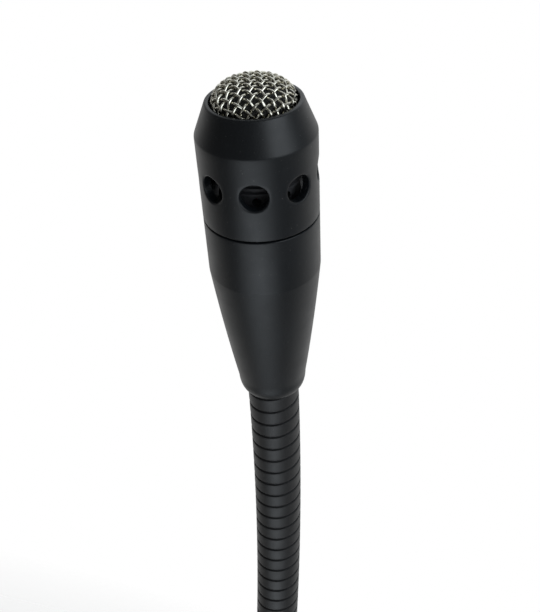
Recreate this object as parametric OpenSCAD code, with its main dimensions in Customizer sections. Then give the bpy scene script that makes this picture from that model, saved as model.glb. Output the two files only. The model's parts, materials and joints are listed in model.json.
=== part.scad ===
// Gooseneck podium microphone with a plug-in three-pin base.
// Origin: centre of the plug's open lower end, +Z up. The neck leans towards -Y.

/* [Gooseneck] */
// Outer diameter of the gooseneck winding
neck_d = 8; // [7.8:0.1:8.2]
// Visible length of the gooseneck along its curve
neck_len = 320; // [280:10:400]
// Angle that the head leans forward at rest
neck_lean = 50; // [0:5:60]
// Height of one turn of the outer winding
turn_pitch = 2.85; // [2.5:0.05:3.5]
// Depth of the groove between two turns
groove_depth = 0.3; // [0.2:0.05:0.5]
// Diameter of the cable inside the gooseneck
cable_d = 3; // [2.6:0.1:3.2]

/* [Head] */
// Outer diameter of the microphone head
head_d = 15.6; // [15.4:0.1:16]
// Height of the cap's straight side above the seam
cap_side_h = 11.8; // [11.6:0.1:12.4]
// Outer diameter of the cap's rim round the grille
rim_d = 12.4; // [12.2:0.1:12.8]
// Number of sound ports round the cap
port_count = 8; // [6:1:8]
// Diameter of one sound port
port_d = 3.6; // [2.4:0.1:3.8]
// Height of the ports' centres above the seam
port_z = 6.5; // [6.2:0.1:6.8]
// Length of the head body below the seam
body_len = 31; // [30.6:0.1:34]

/* [Base] */
// Outer diameter of the plug's shell
plug_d = 18.8; // [18.6:0.1:18.9]
// Length of the plug's shell that enters the socket
plug_len = 21; // [20:0.5:22]
// Diameter of the base tube above the plug
base_d = 19.6; // [19.4:0.1:20.4]
// Height of the base tube's upper end
tube_top_z = 78; // [76:1:90]
// Height at which the gooseneck leaves the collar
neck_z = 96; // [95:1:110]

/* [Hidden] */
$fn = 64;
links = 9;
lean_step = neck_lean / links;
seg = neck_len / links;
neck_r = neck_d / 2;
head_r = head_d / 2;
base_r = base_d / 2;
plug_r = plug_d / 2;
cable_r = cable_d / 2;

// Room for each link to tilt on the next: a gap on the axis and the slope of the cone at its end
link_gap = 0.15;
link_slope = tan(18.5);

// Layers of the gooseneck
winding_in_r = neck_r - 1;
spring_out_r = winding_in_r - 0.05;
spring_in_r = cable_r + 0.45;
spring_pitch = 0.9;

// How far the gooseneck reaches into the collar and into the head
collar_grip = 17;
head_grip = 11.5;
cable_tail = 28;
cable_head_grip = 20;

// Heights in the head, from the seam
seam_gap = 0.25;
cap_bore_r = head_r - 1.15;
rim_z = cap_side_h + 4.2;
mouth_r = 5.6;
lip_z = rim_z - 2.3;
seat_r = cap_bore_r - 0.5;
seat_z = cap_side_h + 0.2;
mesh_top_z = rim_z + 2.6;
spigot_z = 3.6;
capsule_r = 4.85;
capsule_z = 5.5;
capsule_h = 5.6;

// Parallel stretch, taper and rounded end of the head body
taper_z = -8.2;
taper_end_z = 2.3 - body_len;
end_r = neck_r + 0.4;
body_bore_r = 5.3;
ferrule_r = 4.6;
ferrule_z = -18;

// Plug and base
cavity_r = 8;
cavity_z = 15;
insert_r = cavity_r - 0.8;
insert_top_z = 25;
spigot_r = base_r - 1.1;
tube_bore_r = spigot_r + 0.05;
shell_top_z = plug_len + 8;
pin_r = 1.2;
pin_circle_r = 4.05;
board_z = 31;
board_w = 14;
board_t = 1;
collar_pocket_r = 5.2;

HEAD_NODES = ["grille_mesh", "grille_ring", "foam_screen", "head_cap", "capsule_can", "capsule_felt",
    "capsule_diaphragm", "capsule_spacer", "capsule_backplate", "capsule_board", "capsule_mount",
    "capsule_leads", "head_body", "head_ferrule"];
BASE_NODES = ["base_ferrule", "base_collar", "base_tube", "tube_screws", "preamp_board", "board_parts",
    "plug_leads", "plug_shell", "plug_insert", "plug_pin_1", "plug_pin_2", "plug_pin_3",
    "insert_screw", "ground_tag"];

// ---------- Frames along the gooseneck ----------

// Direction of link i, towards the head
function heading(i) = [0, -sin(i * lean_step), cos(i * lean_step)];
// Where link i starts: the collar for link 0, joint i for the others
function link_at(i) = i == 0 ? [0, 0, neck_z]
    : link_at(i - 1) + (i == 1 ? seg / 2 : seg) * heading(i - 1);
function seam_at() = link_at(links) + (seg / 2 + body_len) * heading(links);

module on_link(i) translate(link_at(i)) rotate([i * lean_step, 0, 0]) children();
module on_head() translate(seam_at()) rotate([neck_lean, 0, 0]) children();

// Both ends of a layer on link i, measured along the link at radius r
function low_end(i, r, grip) = i == 0 ? -grip : link_gap + r * link_slope;
function high_end(i, r, grip) = i == links ? seg / 2 + grip
    : (i == 0 ? seg / 2 : seg) - link_gap - r * link_slope;

// ---------- Gooseneck layers ----------

// Outline of one rib that starts at height z: groove floor, wall and a crowned band
function rib(z, pitch, r, depth) = [
    [r - depth, z], [r - depth, z + 0.06 * pitch], [r - 0.12, z + 0.16 * pitch],
    [r, z + 0.38 * pitch], [r, z + 0.72 * pitch], [r - 0.12, z + 0.94 * pitch], [r - depth, z + pitch]];

// Ribbed tube from an inner radius to an outer one, whose ends are cones where they face a joint
module ribbed_tube(i, r_in, r_out, pitch, depth, low_grip, high_grip) {
    low = low_end(i, r_out, low_grip);
    high = high_end(i, r_out, high_grip);
    turns = floor((high - low - 0.4) / pitch);
    first = low + (high - low - turns * pitch) / 2;
    ribs = [for (k = [0:turns - 1]) each rib(first + k * pitch, pitch, r_out, depth)];
    r_floor = r_out - depth;
    rotate_extrude()
        polygon(concat([[r_in, low_end(i, r_in, low_grip)], [r_floor, low_end(i, r_floor, low_grip)]], ribs,
            [[r_floor, high_end(i, r_floor, high_grip)], [r_in, high_end(i, r_in, high_grip)]]));
}

module neck_winding(i)
    color("#2a2b2e") on_link(i)
        ribbed_tube(i, winding_in_r, neck_r, turn_pitch, groove_depth, collar_grip, head_grip);

module neck_spring(i)
    color("#9a9da1") on_link(i)
        ribbed_tube(i, spring_in_r, spring_out_r, 4 * spring_pitch, 0.2, collar_grip, head_grip);

module neck_cable(i)
    color("#3b3d42") on_link(i) {
        low_grip = cable_tail;
        high_grip = cable_head_grip;
        rotate_extrude()
            polygon([[0, low_end(i, 0, low_grip)], [cable_r, low_end(i, cable_r, low_grip)],
                [cable_r, high_end(i, cable_r, high_grip)], [0, high_end(i, 0, high_grip)]]);
    }

// ---------- Head ----------

// Points of the dome's curve, from its edge up to its top on the axis
function dome(r_edge, z_edge, top, n) = [for (k = [0:n])
    let (a = 90 * k / n) [r_edge * pow(cos(a), 0.75), z_edge + (top - z_edge) * sin(a)]];

module grille_mesh()
    color("#d9dadb") on_head() {
        skirt_r = mouth_r - 0.25;
        wall = 0.55;
        low = lip_z - 0.5;
        edge_z = rim_z - 0.2;
        outer = dome(skirt_r, edge_z, mesh_top_z, 8);
        inner = dome(skirt_r - wall, edge_z, mesh_top_z - wall, 8);
        rotate_extrude()
            polygon(concat(
                [[skirt_r - wall, low], [seat_r - 0.05, low], [seat_r - 0.05, lip_z], [skirt_r, lip_z]],
                outer, [for (k = [8:-1:0]) inner[k]]));
    }

module grille_ring()
    color("#4a4b4e") on_head() {
        low = seat_z - 0.75;
        rotate_extrude()
            polygon([[5, low], [cap_bore_r - 0.05, low], [cap_bore_r - 0.05, seat_z], [seat_r - 0.05, seat_z],
                [seat_r - 0.05, lip_z - 0.5], [5, lip_z - 0.5]]);
    }

module foam_screen()
    color("#303030") on_head() {
        low = capsule_z + capsule_h + 0.15;
        edge = dome(4.7, rim_z - 0.2, mesh_top_z - 0.65, 8);
        rotate_extrude() polygon(concat([[0, low], [4.7, low]], edge));
    }

module port(angle)
    rotate([0, 0, angle]) translate([0, 0, port_z]) rotate([90, 0, 0]) {
        translate([0, 0, cap_bore_r - 1]) cylinder(h = 3, d = port_d);
        translate([0, 0, head_r - 0.22]) cylinder(h = 0.5, d1 = port_d, d2 = port_d + 1);
    }

module head_cap()
    color("#2b2c2f") on_head() difference() {
        rotate_extrude()
            polygon([[cap_bore_r, seam_gap], [head_r - 0.12, seam_gap], [head_r, seam_gap + 0.12],
                [head_r, cap_side_h], [rim_d / 2, rim_z - 0.2], [rim_d / 2 - 0.2, rim_z],
                [mouth_r + 0.12, rim_z], [mouth_r, rim_z - 0.12], [mouth_r, lip_z], [seat_r, lip_z],
                [seat_r, seat_z], [cap_bore_r, seat_z]]);
        for (k = [0:port_count - 1]) port((k + 0.5) * 360 / port_count);
    }

module capsule_can()
    color("#c9cacc") on_head() translate([0, 0, capsule_z]) difference() {
        cylinder(h = capsule_h, r = capsule_r);
        translate([0, 0, -1]) cylinder(h = capsule_h + 0.7, r = capsule_r - 0.3);
        cylinder(h = capsule_h + 1, r = 1.1);
    }

module capsule_felt()
    color("#1d1d1f") on_head() translate([0, 0, capsule_z + capsule_h])
        cylinder(h = 0.15, r = capsule_r - 0.2);

module capsule_diaphragm()
    color("#d8c690") on_head() translate([0, 0, capsule_z + capsule_h - 0.5])
        cylinder(h = 0.2, r = capsule_r - 0.35);

module capsule_spacer()
    color("#e9e6dc") on_head() translate([0, 0, capsule_z + capsule_h - 0.9]) difference() {
        cylinder(h = 0.4, r = capsule_r - 0.35);
        translate([0, 0, -1]) cylinder(h = 3, r = capsule_r - 0.85);
    }

module capsule_backplate()
    color("#b98a3a") on_head() translate([0, 0, capsule_z + capsule_h - 1.5]) difference() {
        cylinder(h = 0.6, r = capsule_r - 0.35);
        for (a = [0:60:300]) rotate([0, 0, a]) translate([2.6, 0, -1]) cylinder(h = 3, r = 0.45);
    }

module capsule_board()
    color("#2f6b3d") on_head() translate([0, 0, capsule_z]) {
        cylinder(h = 0.8, r = capsule_r - 0.35);
        translate([-1.2, -0.8, 0.8]) cube([2.4, 1.6, 1]);
    }

// Rubber carrier: a stem pressed into the head body, a seat for the capsule and rings round the outside
module capsule_mount()
    color("#17181a") on_head() difference() {
        rib_pitch = 0.8;
        rib_r = body_bore_r + 0.4;
        low = spigot_z;
        high = capsule_z + capsule_h - 0.35;
        first = low + 1.9;
        turns = floor((high - first - 0.4) / rib_pitch);
        ribs = [for (k = [0:turns - 1]) each
            [[rib_r - 0.38, first + k * rib_pitch], [rib_r, first + 0.12 + k * rib_pitch],
                [rib_r, first + 0.4 + k * rib_pitch], [rib_r - 0.38, first + 0.52 + k * rib_pitch]]];
        rotate_extrude()
            polygon(concat(
                [[1.6, low - 3], [body_bore_r - 0.02, low - 3], [body_bore_r - 0.02, low]],
                [[rib_r - 0.38, low]], ribs,
                [[rib_r - 0.38, high], [capsule_r + 0.02, high], [capsule_r + 0.02, capsule_z],
                [3.6, capsule_z], [3.6, low - 1], [1.6, low - 1]]));
        for (k = [0:7]) rotate([0, 0, (k + 0.5) * 45]) translate([0, 0, 4.55]) rotate([90, 0, 0])
            translate([0, 0, 3]) cylinder(h = 4, r = 0.6, $fn = 24);
    }

module capsule_leads()
    color("#b23a34") on_head() {
        bottom = -body_len + cable_head_grip;
        for (side = [-1, 1]) translate([side * 0.9, 0, bottom])
            cylinder(h = capsule_z - bottom, r = 0.4, $fn = 24);
    }

// Half profile of the head body's outside: parallel, then a taper that steepens a little, then a round end
function taper_r(z) = head_r - 0.099 * (taper_z - z) - 0.0014 * pow(taper_z - z, 2);
function body_profile() = concat(
    [[head_r - 0.12, 0], [head_r, -0.12], [head_r, taper_z]],
    [for (k = [1:6]) let (z = taper_z + (taper_end_z - taper_z) * k / 6) [taper_r(z), z]],
    [for (k = [1:5]) let (a = 90 * k / 5)
        [end_r + (taper_r(taper_end_z) - end_r) * cos(a), taper_end_z - (taper_end_z + body_len) * sin(a)]]);

module head_body()
    color("#2b2c2f") on_head() rotate_extrude()
        polygon(concat([[body_bore_r, spigot_z], [cap_bore_r - 0.05, spigot_z], [cap_bore_r - 0.05, 0]],
            body_profile(), [[neck_r + 0.05, -body_len], [neck_r + 0.05, ferrule_z - 9.2],
            [ferrule_r + 0.02, ferrule_z - 9.2], [ferrule_r + 0.02, -12], [body_bore_r, -12]]));

module head_ferrule()
    color("#b08d4a") on_head() {
        neck_end = -body_len + head_grip;
        rotate_extrude()
            polygon([[2.2, ferrule_z + 1], [ferrule_r, ferrule_z + 1], [ferrule_r, ferrule_z - 9],
                [neck_r + 0.02, ferrule_z - 9], [neck_r + 0.02, neck_end], [2.2, neck_end]]);
    }

// ---------- Base ----------

module base_ferrule()
    color("#b08d4a") {
        neck_end = neck_z - collar_grip;
        rotate_extrude()
            polygon([[2.2, neck_end - 1.5], [collar_pocket_r - 0.05, neck_end - 1.5],
                [collar_pocket_r - 0.05, neck_end + 9], [neck_r + 0.02, neck_end + 9],
                [neck_r + 0.02, neck_end], [2.2, neck_end]]);
    }

module base_collar()
    color("#232427") {
        pocket_top = neck_z - collar_grip + 9;
        nose_r = neck_r + 1.5;
        shoulder_r = base_r - 0.3 - nose_r;
        shoulder_h = neck_z - tube_top_z - 3.1;
        shoulder = [for (k = [0:8]) let (a = 90 * k / 8)
            [nose_r + shoulder_r * (1 - sin(a)), tube_top_z + 1.6 + shoulder_h * (1 - cos(a))]];
        rotate_extrude()
            polygon(concat(
                [[collar_pocket_r, tube_top_z - 8], [spigot_r, tube_top_z - 8], [spigot_r, tube_top_z],
                [base_r - 0.3, tube_top_z], [base_r, tube_top_z + 0.3], [base_r, tube_top_z + 1.3]],
                shoulder, [[nose_r, neck_z - 0.4], [nose_r - 0.4, neck_z], [neck_r + 0.05, neck_z],
                [neck_r + 0.05, pocket_top], [collar_pocket_r, pocket_top]]));
    }

module base_tube()
    color("#232427") difference() {
        rotate_extrude()
            polygon([[tube_bore_r, plug_len], [base_r - 0.4, plug_len], [base_r, plug_len + 0.4],
                [base_r, tube_top_z - 0.3], [base_r - 0.3, tube_top_z], [tube_bore_r, tube_top_z]]);
        for (side = [-90, 90]) rotate([0, 0, side]) translate([0, 0, plug_len + 4]) rotate([90, 0, 0])
            cylinder(h = 12, r = 1.02, $fn = 32);
    }

// Grub screw with a hexagon socket, pointing along -Y from radius r
module grub_screw(r, len)
    rotate([90, 0, 0]) translate([0, 0, r]) difference() {
        cylinder(h = len, r = 1, $fn = 32);
        translate([0, 0, len - 0.8]) cylinder(h = 1, r = 0.5, $fn = 6);
    }

module tube_screws()
    color("#8f9296") for (side = [-90, 90]) rotate([0, 0, side]) translate([0, 0, plug_len + 4])
        grub_screw(spigot_r - 0.8, base_r - 0.2 - spigot_r + 0.8);

module insert_screw()
    color("#8f9296") translate([0, 0, cavity_z + 2.5])
        grub_screw(insert_r - 1.2, plug_r - 0.2 - insert_r + 1.2);

module plug_shell()
    color("#3c3d40") difference() {
        rotate_extrude()
            polygon([[cavity_r, 0.3], [cavity_r + 0.3, 0], [plug_r, 0], [plug_r, plug_len],
                [spigot_r, plug_len], [spigot_r, shell_top_z], [insert_r, shell_top_z], [insert_r, cavity_z],
                [cavity_r, cavity_z]]);
        translate([-1.6, 7, -1]) cube([3.2, 1.65, 13]);
        translate([-2.3, 7, 4.5]) cube([4.6, 4, 3]);
        translate([0, 0, cavity_z + 2.5]) rotate([90, 0, 0]) cylinder(h = 12, r = 1.02, $fn = 32);
        for (side = [-90, 90]) rotate([0, 0, side]) translate([0, 0, plug_len + 4]) rotate([90, 0, 0])
            cylinder(h = 12, r = 1.02, $fn = 32);
    }

// Angle of each contact round the plug: the latch side is +Y, contact 3 faces it
function pin_angle(n) = n == 1 ? 180 : n == 2 ? 0 : 270;
module at_pin(n) rotate([0, 0, pin_angle(n)]) translate([pin_circle_r, 0, 0]) children();

module plug_insert()
    color("#19191b") difference() {
        union() {
            translate([0, 0, cavity_z - 2]) cylinder(h = 2, r = cavity_r - 0.05);
            translate([0, 0, cavity_z]) cylinder(h = insert_top_z - cavity_z, r = insert_r - 0.05);
        }
        for (n = [1:3]) at_pin(n) cylinder(h = 40, r = pin_r + 0.02);
        translate([0, 0, cavity_z + 2.5]) rotate([90, 0, 0]) translate([0, 0, insert_r - 1.2])
            cylinder(h = 3, r = 1.02, $fn = 32);
    }

module plug_pin(n)
    color("#cfa94e") at_pin(n) {
        tip_z = n == 1 ? 2 : 3;
        translate([0, 0, tip_z + pin_r]) sphere(r = pin_r);
        translate([0, 0, tip_z + pin_r]) cylinder(h = 26 - tip_z - pin_r, r = pin_r);
        translate([0, 0, 25.5]) difference() {
            cylinder(h = 3, r = pin_r + 0.25);
            translate([0, 0, 0.8]) cylinder(h = 3, r = pin_r - 0.35);
        }
    }

// Solder tag from contact 1 to the inside of the shell
module ground_tag()
    color("#c7c9cc") rotate([0, 0, pin_angle(1)]) translate([0, 0, insert_top_z]) difference() {
        union() {
            translate([pin_circle_r, 0, 0]) cylinder(h = 0.4, r = 2.4);
            translate([pin_circle_r, -1, 0]) cube([insert_r - pin_circle_r - 0.1, 2, 0.4]);
        }
        translate([pin_circle_r, 0, -1]) cylinder(h = 3, r = pin_r + 0.02);
    }

module plug_leads()
    color("#b23a34") {
        lead_z = 26.4;
        for (n = [1:2]) at_pin(n) translate([0, 0, lead_z])
            cylinder(h = board_z - lead_z, r = 0.45, $fn = 24);
        at_pin(3) {
            translate([0, 0, lead_z]) cylinder(h = board_z + 2 - lead_z, r = 0.45, $fn = 24);
            translate([0, 0, board_z + 2]) sphere(r = 0.45, $fn = 24);
            translate([0, 0, board_z + 2]) rotate([0, -90, 0])
                cylinder(h = pin_circle_r - board_t / 2, r = 0.45, $fn = 24);
        }
    }

module preamp_board()
    color("#2f6b3d") translate([-board_w / 2, -board_t / 2, board_z])
        cube([board_w, board_t, neck_z - cable_tail - board_z]);

// Electrolytic capacitors on the front of the board, film capacitor, transistor and chips on the back
module board_parts()
    color("#46484c") {
        for (z = [39, 51]) translate([0, -board_t / 2 - 2.5, z]) cylinder(h = 9, r = 2.5);
        for (z = [37, 43, 49]) translate([-5, board_t / 2, z]) cube([3.2, 1.2, 1.6]);
        translate([-1, board_t / 2, 38]) cube([5, 3.4, 7]);
        translate([0, board_t / 2, 50]) cube([4.5, 2, 4.5]);
    }

grille_mesh();
grille_ring();
foam_screen();
head_cap();
capsule_can();
capsule_felt();
capsule_diaphragm();
capsule_spacer();
capsule_backplate();
capsule_board();
capsule_mount();
capsule_leads();
head_body();
head_ferrule();
base_ferrule();
base_collar();
base_tube();
tube_screws();
preamp_board();
board_parts();
plug_leads();
plug_shell();
plug_insert();
for (n = [1:3]) plug_pin(n);
insert_screw();
ground_tag();
for (i = [0:links]) neck_winding(i);
for (i = [0:links]) neck_spring(i);
for (i = [0:links]) neck_cable(i);
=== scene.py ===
"""Gooseneck podium microphone: the looks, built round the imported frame.

Values whose names end in _MM or _mm are in millimetres. Outlines are in millimetres too.
"""
import json
from math import asin, atan2, cos, hypot, pi, radians, sin, sqrt, tan

import bmesh
import bpy
from mathutils import Matrix, Vector, noise


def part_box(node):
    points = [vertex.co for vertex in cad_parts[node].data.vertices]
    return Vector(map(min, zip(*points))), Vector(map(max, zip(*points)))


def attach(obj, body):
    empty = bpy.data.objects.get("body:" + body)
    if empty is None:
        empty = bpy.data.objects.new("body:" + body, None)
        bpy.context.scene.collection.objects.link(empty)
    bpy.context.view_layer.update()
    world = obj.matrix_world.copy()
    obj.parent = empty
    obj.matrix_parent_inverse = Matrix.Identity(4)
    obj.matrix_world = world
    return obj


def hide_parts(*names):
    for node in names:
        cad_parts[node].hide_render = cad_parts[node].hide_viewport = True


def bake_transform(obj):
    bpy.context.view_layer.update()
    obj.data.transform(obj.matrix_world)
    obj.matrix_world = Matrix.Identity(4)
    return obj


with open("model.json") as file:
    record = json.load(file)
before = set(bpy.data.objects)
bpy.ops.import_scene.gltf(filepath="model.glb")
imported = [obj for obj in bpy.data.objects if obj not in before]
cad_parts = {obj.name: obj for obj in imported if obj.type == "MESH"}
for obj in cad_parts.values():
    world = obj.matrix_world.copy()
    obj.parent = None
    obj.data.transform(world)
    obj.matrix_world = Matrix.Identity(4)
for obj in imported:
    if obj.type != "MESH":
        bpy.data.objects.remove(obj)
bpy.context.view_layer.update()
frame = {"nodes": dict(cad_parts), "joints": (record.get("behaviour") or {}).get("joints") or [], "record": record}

MM = 0.001

# ---------- Sizes that the visual pieces share with the frame ----------

HEAD_R_MM = 7.8
CAP_SIDE_MM = 11.8
RIM_R_MM = 6.12
RIM_Z_MM = 16.0
MOUTH_R_MM = 5.6
LIP_Z_MM = 13.7
MESH_TOP_MM = 18.6
CAP_BORE_R_MM = 6.65
SEAM_GAP_MM = 0.25
PORT_R_MM = 1.8
PORT_Z_MM = 6.5
PORT_COUNT = 8
BODY_LEN_MM = 31.0
BODY_BORE_R_MM = 5.3
TAPER_Z_MM = -8.2
NECK_R_MM = 4.0
TURN_PITCH_MM = 2.85
COLLAR_GRIP_MM = 17.0
HEAD_GRIP_MM = 11.5
PLUG_LEN_MM = 21.0
# Room between two pieces that fit in each other
FIT_MM = 0.05

# ---------- The neck's curve and the head's place, from the joints ----------

JOINTS = [Vector(j["pos_m"]) for j in frame["joints"]]
LINKS = len(JOINTS)
NECK_START = Vector((0.0, 0.0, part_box("base_collar")[1].z))
LEAN_STEP = (JOINTS[2] - JOINTS[1]).angle(JOINTS[1] - JOINTS[0])
LEAN = LINKS * LEAN_STEP
HALF_LINK = (JOINTS[0] - NECK_START).length
NECK_RADIUS = HALF_LINK / tan(LEAN_STEP / 2)
NECK_ARC = NECK_RADIUS * LEAN


def neck_frame(s):
    """Matrix of the cross-section at distance s along the neck, with its Z along the neck."""
    turn = min(max(s / NECK_RADIUS, 0.0), LEAN)
    along = Vector((0.0, -sin(turn), cos(turn)))
    centre = NECK_START + NECK_RADIUS * Vector((0.0, cos(turn) - 1.0, sin(turn)))
    centre += along * (min(s, 0.0) + max(s - NECK_ARC, 0.0))
    return Matrix.Translation(centre) @ Matrix.Rotation(turn, 4, "X")


HEAD = neck_frame(NECK_ARC + BODY_LEN_MM * MM)


# ---------- Mesh helpers ----------

# Edges that turn by more than this stay sharp
CREASE = radians(32)
# Points closer than this are one point, and a radius below AXIS_MM is on the axis
WELD_MM = 1e-5
AXIS_MM = 1e-6
# Longest edge of a turned outline, and the turn of each short edge of a rounded corner
LONGEST_EDGE_MM = 0.8
CORNER_STEP = radians(15)


def finish_mesh(bm, name, place=None):
    """Object from a bmesh in millimetres, moved to place, with outward normals, smooth faces and creases."""
    bmesh.ops.remove_doubles(bm, verts=bm.verts, dist=WELD_MM)
    bmesh.ops.recalc_face_normals(bm, faces=bm.faces)
    for face in bm.faces:
        face.smooth = True
    for edge in bm.edges:
        if len(edge.link_faces) == 2 and edge.calc_face_angle(0.0) > CREASE:
            edge.smooth = False
    bmesh.ops.scale(bm, vec=(MM, MM, MM), verts=bm.verts)
    if place is not None:
        bmesh.ops.transform(bm, matrix=place, verts=bm.verts)
    mesh = bpy.data.meshes.new(name)
    bm.to_mesh(mesh)
    bm.free()
    piece = bpy.data.objects.new(name, mesh)
    bpy.context.scene.collection.objects.link(piece)
    return piece


def dress(piece, material, body=None, nodes=()):
    """Gives a piece its material, the body it rides on and the CAD nodes it replaces."""
    piece.data.materials.clear()
    piece.data.materials.append(material)
    if nodes:
        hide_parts(*nodes)
    if body:
        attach(piece, body)
    return piece


def rounded(corners, closed=True):
    """Outline with each (x, y, radius) corner turned into an arc of short edges."""
    outline = []
    count = len(corners)
    for i, (x, y, radius) in enumerate(corners):
        here = Vector((x, y))
        if radius <= 0 or (not closed and i in (0, count - 1)):
            outline.append(here)
            continue
        before = Vector(corners[i - 1][:2]) - here
        after = Vector(corners[(i + 1) % count][:2]) - here
        half = before.angle(after) / 2
        reach = min(radius / tan(half), before.length * 0.49, after.length * 0.49)
        start = here + before.normalized() * reach
        end = here + after.normalized() * reach
        steps = max(3, round((pi - 2 * half) / CORNER_STEP))
        for k in range(steps + 1):
            t = k / steps
            outline.append((1 - t) ** 2 * start + 2 * t * (1 - t) * here + t ** 2 * end)
    return [(p.x, p.y) for p in outline]


def divided(outline):
    """The same outline with points added so that no edge is longer than LONGEST_EDGE_MM."""
    points = outline[:1]
    for (x0, y0), (x1, y1) in zip(outline, outline[1:]):
        parts = int(hypot(x1 - x0, y1 - y0) / LONGEST_EDGE_MM) + 1
        points += [(x0 + (x1 - x0) * k / parts, y0 + (y1 - y0) * k / parts) for k in range(1, parts + 1)]
    return points


def circle(radius, height, sides):
    """Points of a circle round Z."""
    turns = [2 * pi * k / sides for k in range(sides)]
    return [Vector((radius * cos(turn), radius * sin(turn), height)) for turn in turns]


def lathe_into(bm, outline, closed=True, segments=128):
    """Turns an outline of (radius, height) round Z into the bmesh."""
    rings = []
    for radius, height in divided(outline):
        points = [Vector((0, 0, height))] if radius < AXIS_MM else circle(radius, height, segments)
        rings.append([bm.verts.new(point) for point in points])
    pairs = list(zip(rings, rings[1:]))
    if closed:
        pairs.append((rings[-1], rings[0]))
    for low, high in pairs:
        for k in range(segments):
            n = (k + 1) % segments
            corners = [low[k % len(low)], low[n % len(low)], high[n % len(high)], high[k % len(high)]]
            corners = list(dict.fromkeys(corners))
            if len(corners) > 2:
                bm.faces.new(corners)


def lathe(name, corners, place=None, closed=True, segments=128):
    """Turned solid from rounded corners."""
    bm = bmesh.new()
    lathe_into(bm, rounded(corners, closed), closed, segments)
    return finish_mesh(bm, name, place)


def drum(radius, low, high):
    """Corners of a plain cylinder from low to high, for the cutters."""
    return [(0, low, 0), (radius, low, 0), (radius, high, 0), (0, high, 0)]


def cut(piece, cutters):
    """Takes the cutters out of a piece for good and removes them."""
    for cutter in cutters:
        cutter.hide_render = True
        modifier = piece.modifiers.new("cut", "BOOLEAN")
        modifier.operation = "DIFFERENCE"
        modifier.solver = "EXACT"
        modifier.object = cutter
    bpy.context.view_layer.update()
    depsgraph = bpy.context.evaluated_depsgraph_get()
    mesh = bpy.data.meshes.new_from_object(piece.evaluated_get(depsgraph))
    piece.modifiers.clear()
    old = piece.data
    piece.data = mesh
    bpy.data.meshes.remove(old)
    for cutter in cutters:
        bpy.data.objects.remove(cutter)
    crease(piece)
    return piece


def crease(piece):
    """Smooth faces with sharp creases, after a cut."""
    bm = bmesh.new()
    bm.from_mesh(piece.data)
    for face in bm.faces:
        face.smooth = True
    for edge in bm.edges:
        edge.smooth = len(edge.link_faces) != 2 or edge.calc_face_angle(0.0) < CREASE
    bm.to_mesh(piece.data)
    bm.free()


def block(name, low, high, bevel):
    """Box between two corners, in millimetres, with rounded edges."""
    bm = bmesh.new()
    bmesh.ops.create_cube(bm, size=1.0)
    size = Vector(high) - Vector(low)
    middle = (Vector(high) + Vector(low)) / 2
    for vert in bm.verts:
        vert.co = Vector((vert.co.x * size.x, vert.co.y * size.y, vert.co.z * size.z)) + middle
    bmesh.ops.bevel(bm, geom=list(bm.edges), offset=bevel, segments=3, affect="EDGES", profile=0.5)
    return finish_mesh(bm, name)


def join_rings(bm, first, second):
    """Closed band of quads between two rings of vertices."""
    for k in range(len(first)):
        n = (k + 1) % len(first)
        bm.faces.new((first[k], first[n], second[n], second[k]))


def tube_into(bm, points, radius, sides):
    """Round wire along points, capped at both ends, with a frame that doesn't twist."""
    points = [Vector(p) for p in points]
    along = (points[1] - points[0]).normalized()
    across = along.orthogonal().normalized()
    rings = []
    for i, point in enumerate(points):
        ahead = points[min(i + 1, len(points) - 1)] - points[max(i - 1, 0)]
        ahead.normalize()
        across = (across - ahead * across.dot(ahead)).normalized()
        over = ahead.cross(across)
        ring = []
        for k in range(sides):
            turn = 2 * pi * k / sides
            ring.append(bm.verts.new(point + radius * (cos(turn) * across + sin(turn) * over)))
        rings.append(ring)
    for first, second in zip(rings, rings[1:]):
        join_rings(bm, first, second)
    bm.faces.new(rings[0][::-1])
    bm.faces.new(rings[-1])


# ---------- Head pieces, in the head's frame: Z along the axis, 0 at the seam ----------

SECTOR_STEPS = 16
SEGMENTS = SECTOR_STEPS * PORT_COUNT
SIDE_STEPS = 8
WALL_LOOPS = 4
# The band of wall that holds the ports reaches this far above and below their centres
PORT_REACH_MM = 2.4
PORT_LOW_MM = PORT_Z_MM - PORT_REACH_MM
PORT_HIGH_MM = PORT_Z_MM + PORT_REACH_MM
PORT_LIP_MM = 0.2
# A port's rounded edge, from the surface inwards, as (width beyond the port, depth)
PORT_EDGE_MM = [(0.12, 0.03), (0.04, 0.1), (0.0, PORT_LIP_MM)]


def sector_border():
    """Points round one port's patch as (share of the sector from -1 to 1, height), anticlockwise."""
    across = [2 * k / SECTOR_STEPS - 1 for k in range(SECTOR_STEPS)]
    up = [PORT_LOW_MM + (PORT_HIGH_MM - PORT_LOW_MM) * k / SIDE_STEPS for k in range(SIDE_STEPS)]
    return ([(x, PORT_LOW_MM) for x in across] + [(1, z) for z in up]
            + [(-x, PORT_HIGH_MM) for x in across] + [(-1, PORT_LOW_MM + PORT_HIGH_MM - z) for z in up])


def port_ring(bm, turn, radius, port_r, depth, angles):
    """Circle of a port of radius port_r, at a depth under a cylinder's surface, drilled towards its axis."""
    ring = []
    for angle in angles:
        side = port_r * cos(angle)
        out = sqrt(radius ** 2 - side ** 2) - depth
        point = Matrix.Rotation(turn, 3, "Z") @ Vector((out, side, PORT_Z_MM + port_r * sin(angle)))
        ring.append(bm.verts.new(point))
    return ring


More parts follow.
